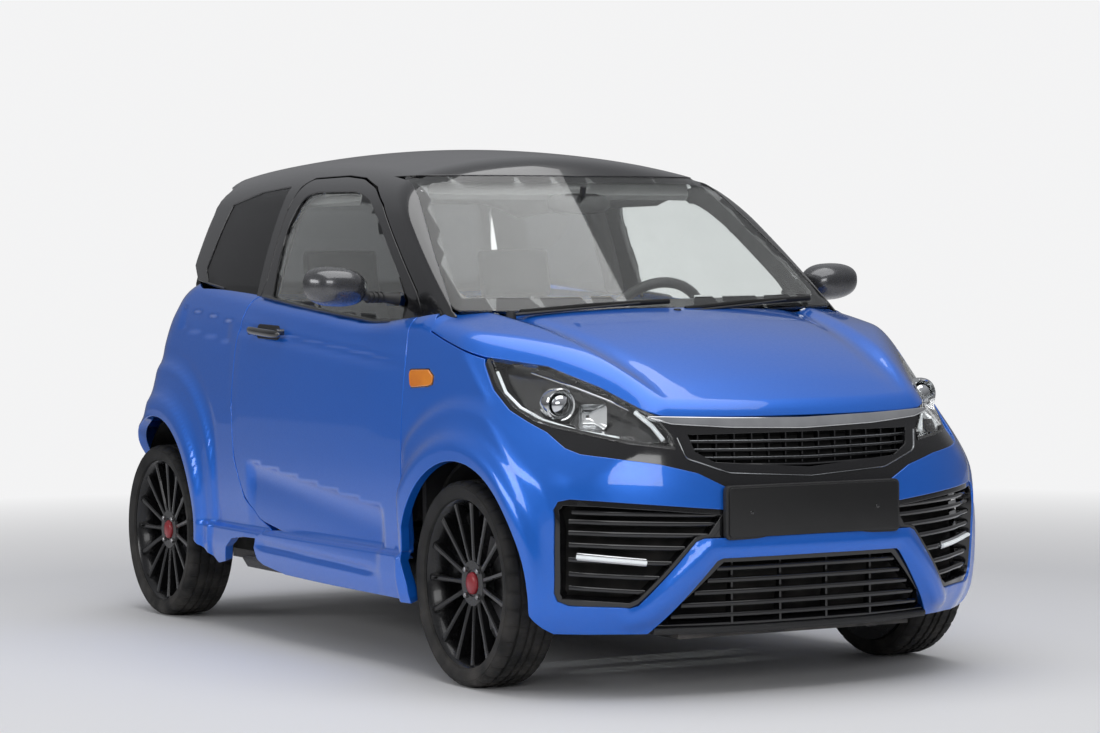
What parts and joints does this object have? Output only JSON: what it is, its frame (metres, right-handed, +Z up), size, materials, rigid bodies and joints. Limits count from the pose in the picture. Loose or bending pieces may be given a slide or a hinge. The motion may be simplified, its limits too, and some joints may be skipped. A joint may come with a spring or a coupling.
{
  "type": "two-seat microcar",
  "caption": "Small two-seat hatchback microcar with hinged doors, bonnet and tailgate, steered front wheels on knuckles and spoked black wheels.",
  "frame": {"origin": "on the ground under the middle of the overall length and width", "axes": "+Z up, the front points to -Y, the car's left is +X"},
  "size_m": [1.78, 3, 1.4448],
  "materials": {
    "black_gloss": "gloss",
    "black_plastic": "matte",
    "body_paint": "gloss",
    "cast": "matte",
    "chassis_black": "satin",
    "clear_glass": "clear",
    "dark_glass": "tinted",
    "lamp_clear": "clear",
    "lamp_red": "tinted",
    "mirror_shell": "satin",
    "rim_black": "satin",
    "roof_paint": "gloss",
    "seat_fabric": "matte",
    "steel": "satin",
    "trim_plastic": "matte",
    "tyre": "matte"
  },
  "bodies": {
    "shell": {"arch_liners": "black_plastic", "chassis_frame": "chassis_black", "cowl": "black_plastic", "dashboard": "trim_plastic", "engine_block": "cast", "exhaust": "steel", "floor_pan": "chassis_black", "front_bumper": "body_paint", "front_suspension": "chassis_black", "front_wings": "body_paint", "headlamps": "lamp_clear", "lower_grille": "black_gloss", "quarter_glass": "dark_glass", "rear_axle": "steel", "rear_bumper": "body_paint", "rear_quarters": "body_paint", "roof_frame": "roof_paint", "seats": "seat_fabric", "side_intakes": "black_gloss", "sills": "body_paint", "tail_lamps": "lamp_red", "upper_grille": "black_gloss", "windscreen": "clear_glass", "wipers": "black_plastic"},
    "door_left": {"door_left": "body_paint", "door_glass_left": "clear_glass", "door_handle_left": "black_plastic", "mirror_left": "mirror_shell"},
    "knuckle_left": {"knuckle_left": "cast"},
    "door_right": {"door_right": "body_paint", "door_glass_right": "clear_glass", "door_handle_right": "black_plastic", "mirror_right": "mirror_shell"},
    "knuckle_right": {"knuckle_right": "cast"},
    "wheel_front_left": {"rim_front_left": "rim_black", "tyre_front_left": "tyre"},
    "wheel_front_right": {"rim_front_right": "rim_black", "tyre_front_right": "tyre"},
    "wheel_rear_left": {"rim_rear_left": "rim_black", "tyre_rear_left": "tyre"},
    "wheel_rear_right": {"rim_rear_right": "rim_black", "tyre_rear_right": "tyre"},
    "bonnet": {"bonnet": "body_paint"},
    "tailgate": {"tailgate": "body_paint", "tailgate_glass": "dark_glass"},
    "steering_wheel": {"steering_wheel": "trim_plastic"}
  },
  "joints": [
    {"name": "door_left_hinge", "type": "hinge", "parent": "shell", "child": "door_left", "pos_m": [0.6947, -0.545, 0.625], "axis": [0, 0, -1], "range_deg": [0, 65]},
    {"name": "door_right_hinge", "type": "hinge", "parent": "shell", "child": "door_right", "pos_m": [-0.6947, -0.545, 0.625], "axis": [0, 0, 1], "range_deg": [0, 65]},
    {"name": "steer_left", "type": "hinge", "parent": "shell", "child": "knuckle_left", "pos_m": [0.575, -0.91, 0.268], "axis": [0, 0, 1], "range_deg": [-30, 30]},
    {"name": "steer_right", "type": "hinge", "parent": "shell", "child": "knuckle_right", "pos_m": [-0.575, -0.91, 0.268], "axis": [0, 0, 1], "range_deg": [-30, 30]},
    {"name": "spin_front_left", "type": "hinge", "parent": "knuckle_left", "child": "wheel_front_left", "pos_m": [0.635, -0.91, 0.268], "axis": [1, 0, 0], "continuous": true},
    {"name": "spin_front_right", "type": "hinge", "parent": "knuckle_right", "child": "wheel_front_right", "pos_m": [-0.635, -0.91, 0.268], "axis": [1, 0, 0], "continuous": true},
    {"name": "spin_rear_left", "type": "hinge", "parent": "shell", "child": "wheel_rear_left", "pos_m": [0.635, 1.156, 0.268], "axis": [1, 0, 0], "continuous": true},
    {"name": "spin_rear_right", "type": "hinge", "parent": "shell", "child": "wheel_rear_right", "pos_m": [-0.635, 1.156, 0.268], "axis": [1, 0, 0], "continuous": true},
    {"name": "steering_wheel_turn", "type": "hinge", "parent": "shell", "child": "steering_wheel", "pos_m": [0.3, -0.19, 0.88], "axis": [0, 0.9063, 0.4226], "range_deg": [-480, 480]},
    {"name": "bonnet_hinge", "type": "hinge", "parent": "shell", "child": "bonnet", "pos_m": [0, -1.432, 0.7125], "axis": [1, 0, 0], "range_deg": [0, 45]},
    {"name": "tailgate_hinge", "type": "hinge", "parent": "shell", "child": "tailgate", "pos_m": [0, 1.104, 1.412], "axis": [1, 0, 0], "range_deg": [0, 75]}
  ],
  "couplings": [
    {"joint": "steer_right", "follows": "steer_left", "ratio": 1},
    {"joint": "steering_wheel_turn", "follows": "steer_left", "ratio": 16}
  ]
}
